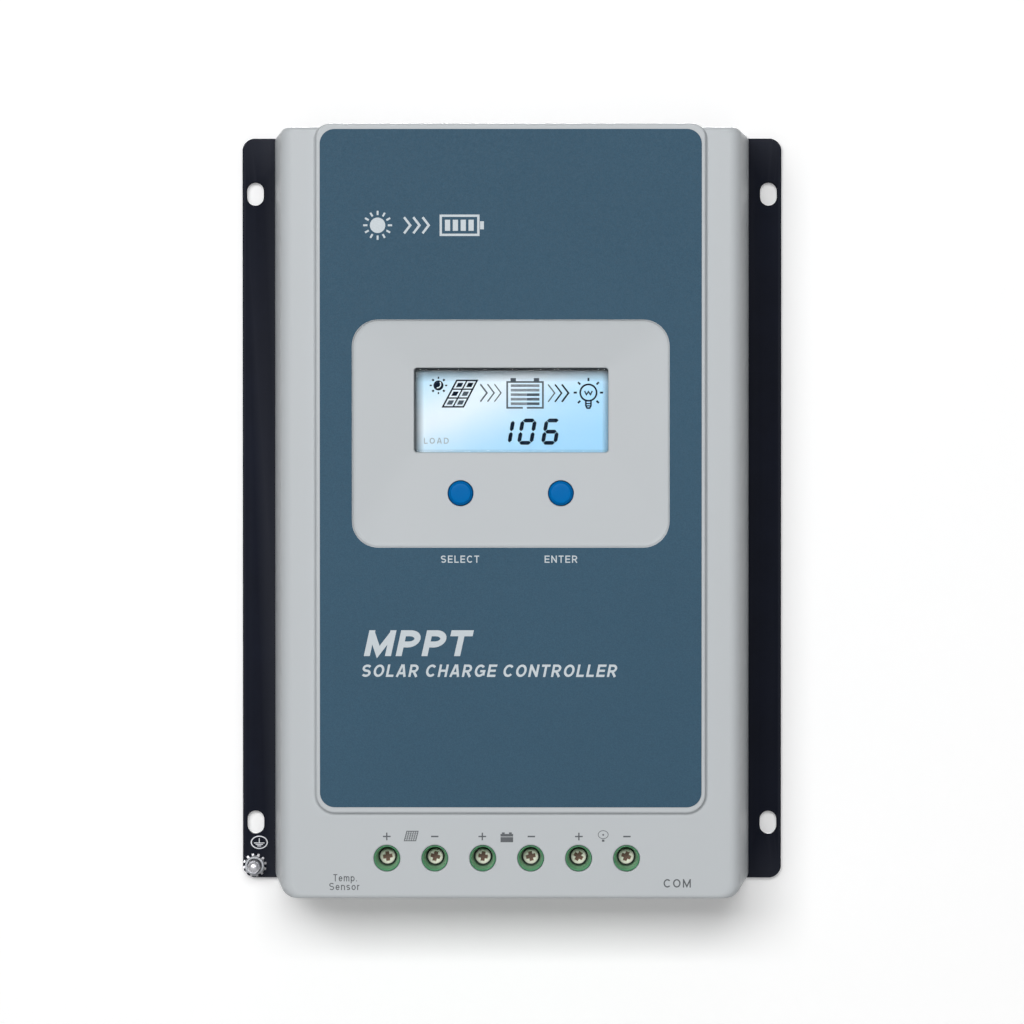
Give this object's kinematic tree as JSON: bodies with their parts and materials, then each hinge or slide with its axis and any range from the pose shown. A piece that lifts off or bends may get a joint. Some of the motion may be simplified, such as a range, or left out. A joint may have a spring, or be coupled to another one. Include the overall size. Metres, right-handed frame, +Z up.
{
  "type": "solar charge controller",
  "caption": "Wall-mount solar charge controller: finned heat sink with slotted flanges, drafted plastic cover, recessed display, push buttons, sunken clamp terminals and signal sockets.",
  "frame": {"origin": "centre of the wall side, on the middle rib's flat back face", "axes": "+Z up along the long side, +Y into the wall, +X to the right as seen from the front"},
  "size_m": [0.18, 0.063, 0.252],
  "materials": {
    "heatsink": "black anodised extrusion, satin",
    "cover": "light grey moulded plastic, fine satin gloss",
    "label": "printed blue-grey film, fine matte grain",
    "lens": "clear acrylic",
    "lcd": "backlit liquid-crystal glass",
    "white_plastic": "white moulded plastic",
    "board": "green solder mask",
    "button": "blue moulded plastic",
    "black_plastic": "black moulded plastic",
    "zinc_steel": "bright zinc-plated steel",
    "terminal_green": "green moulded polyamide",
    "terminal_screw": "yellow-white zinc-plated steel",
    "brass": "tinned brass",
    "copper": "enamelled copper winding on a ferrite ring",
    "sleeve": "heat-shrink sleeve",
    "pad": "grey silicone heat-conducting pad",
    "dark_screw": "black oxide steel"
  },
  "bodies": {
    "base": {"battery_minus_contact": "brass", "battery_plus_contact": "brass", "battery_terminal_block": "terminal_green", "board_screw_1": "zinc_steel", "board_screw_2": "zinc_steel", "board_screw_3": "zinc_steel", "board_screw_4": "zinc_steel", "capacitor_1": "sleeve", "capacitor_2": "sleeve", "capacitor_3": "sleeve", "com_contacts": "brass", "com_socket": "black_plastic", "cover_screw_1": "dark_screw", "cover_screw_2": "dark_screw", "cover_screw_3": "dark_screw", "cover_screw_4": "dark_screw", "display_board": "board", "display_cable": "white_plastic", "earth_stud": "zinc_steel", "enter_switch": "black_plastic", "front_cover": "cover", "front_label": "label", "heatsink": "heatsink", "inductor_1": "copper", "inductor_2": "copper", "lcd_backlight": "white_plastic", "lcd_frame": "white_plastic", "lcd_panel": "lcd", "lcd_window": "lens", "load_minus_contact": "brass", "load_plus_contact": "brass", "load_terminal_block": "terminal_green", "main_board": "board", "mosfet_module": "black_plastic", "pv_minus_contact": "brass", "pv_plus_contact": "brass", "pv_terminal_block": "terminal_green", "select_switch": "black_plastic", "temp_sensor_pins": "brass", "temp_sensor_socket": "terminal_green", "thermal_pad": "pad"},
    "select_button": {"select_button": "button", "select_plunger": "black_plastic"},
    "enter_button": {"enter_button": "button", "enter_plunger": "black_plastic"},
    "pv_plus_screw": {"pv_plus_screw": "terminal_screw"},
    "pv_plus_cage": {"pv_plus_cage": "zinc_steel"},
    "pv_minus_screw": {"pv_minus_screw": "terminal_screw"},
    "pv_minus_cage": {"pv_minus_cage": "zinc_steel"},
    "battery_plus_screw": {"battery_plus_screw": "terminal_screw"},
    "battery_plus_cage": {"battery_plus_cage": "zinc_steel"},
    "battery_minus_screw": {"battery_minus_screw": "terminal_screw"},
    "battery_minus_cage": {"battery_minus_cage": "zinc_steel"},
    "load_plus_screw": {"load_plus_screw": "terminal_screw"},
    "load_plus_cage": {"load_plus_cage": "zinc_steel"},
    "load_minus_screw": {"load_minus_screw": "terminal_screw"},
    "load_minus_cage": {"load_minus_cage": "zinc_steel"},
    "earth_washer": {"earth_washer": "zinc_steel"},
    "earth_nut": {"earth_nut": "zinc_steel"}
  },
  "joints": [
    {"name": "select_press", "type": "slide", "parent": "base", "child": "select_button", "axis": [0, 1, 0], "range_m": [0, 0.0006], "stiffness_N_per_m": 2500},
    {"name": "enter_press", "type": "slide", "parent": "base", "child": "enter_button", "axis": [0, 1, 0], "range_m": [0, 0.0006], "stiffness_N_per_m": 2500},
    {"name": "pv_plus_tighten", "type": "hinge", "parent": "base", "child": "pv_plus_screw", "pos_m": [-0.0403, -0.0505, -0.1129], "axis": [0, 1, 0], "range_deg": [0, 2620]},
    {"name": "pv_plus_clamp", "type": "slide", "parent": "base", "child": "pv_plus_cage", "axis": [0, -1, 0], "range_m": [0, 0.00509]},
    {"name": "pv_minus_tighten", "type": "hinge", "parent": "base", "child": "pv_minus_screw", "pos_m": [-0.0247, -0.0505, -0.1129], "axis": [0, 1, 0], "range_deg": [0, 2620]},
    {"name": "pv_minus_clamp", "type": "slide", "parent": "base", "child": "pv_minus_cage", "axis": [0, -1, 0], "range_m": [0, 0.00509]},
    {"name": "battery_plus_tighten", "type": "hinge", "parent": "base", "child": "battery_plus_screw", "pos_m": [-0.0091, -0.0505, -0.1129], "axis": [0, 1, 0], "range_deg": [0, 2620]},
    {"name": "battery_plus_clamp", "type": "slide", "parent": "base", "child": "battery_plus_cage", "axis": [0, -1, 0], "range_m": [0, 0.00509]},
    {"name": "battery_minus_tighten", "type": "hinge", "parent": "base", "child": "battery_minus_screw", "pos_m": [0.0065, -0.0505, -0.1129], "axis": [0, 1, 0], "range_deg": [0, 2620]},
    {"name": "battery_minus_clamp", "type": "slide", "parent": "base", "child": "battery_minus_cage", "axis": [0, -1, 0], "range_m": [0, 0.00509]},
    {"name": "load_plus_tighten", "type": "hinge", "parent": "base", "child": "load_plus_screw", "pos_m": [0.0221, -0.0505, -0.1129], "axis": [0, 1, 0], "range_deg": [0, 2620]},
    {"name": "load_plus_clamp", "type": "slide", "parent": "base", "child": "load_plus_cage", "axis": [0, -1, 0], "range_m": [0, 0.00509]},
    {"name": "load_minus_tighten", "type": "hinge", "parent": "base", "child": "load_minus_screw", "pos_m": [0.0377, -0.0505, -0.1129], "axis": [0, 1, 0], "range_deg": [0, 2620]},
    {"name": "load_minus_clamp", "type": "slide", "parent": "base", "child": "load_minus_cage", "axis": [0, -1, 0], "range_m": [0, 0.00509]},
    {"name": "earth_lift", "type": "slide", "parent": "base", "child": "earth_washer", "axis": [0, -1, 0], "range_m": [0, 0.00139]},
    {"name": "earth_loosen", "type": "hinge", "parent": "earth_washer", "child": "earth_nut", "pos_m": [-0.086, -0.0048, -0.1194], "axis": [0, -1, 0], "range_deg": [0, 720]}
  ],
  "couplings": [
    {"joint": "pv_plus_tighten", "follows": "pv_plus_clamp", "rad_per_m": 8976},
    {"joint": "pv_minus_tighten", "follows": "pv_minus_clamp", "rad_per_m": 8976},
    {"joint": "battery_plus_tighten", "follows": "battery_plus_clamp", "rad_per_m": 8976},
    {"joint": "battery_minus_tighten", "follows": "battery_minus_clamp", "rad_per_m": 8976},
    {"joint": "load_plus_tighten", "follows": "load_plus_clamp", "rad_per_m": 8976},
    {"joint": "load_minus_tighten", "follows": "load_minus_clamp", "rad_per_m": 8976},
    {"joint": "earth_loosen", "follows": "earth_lift", "rad_per_m": 8976}
  ]
}
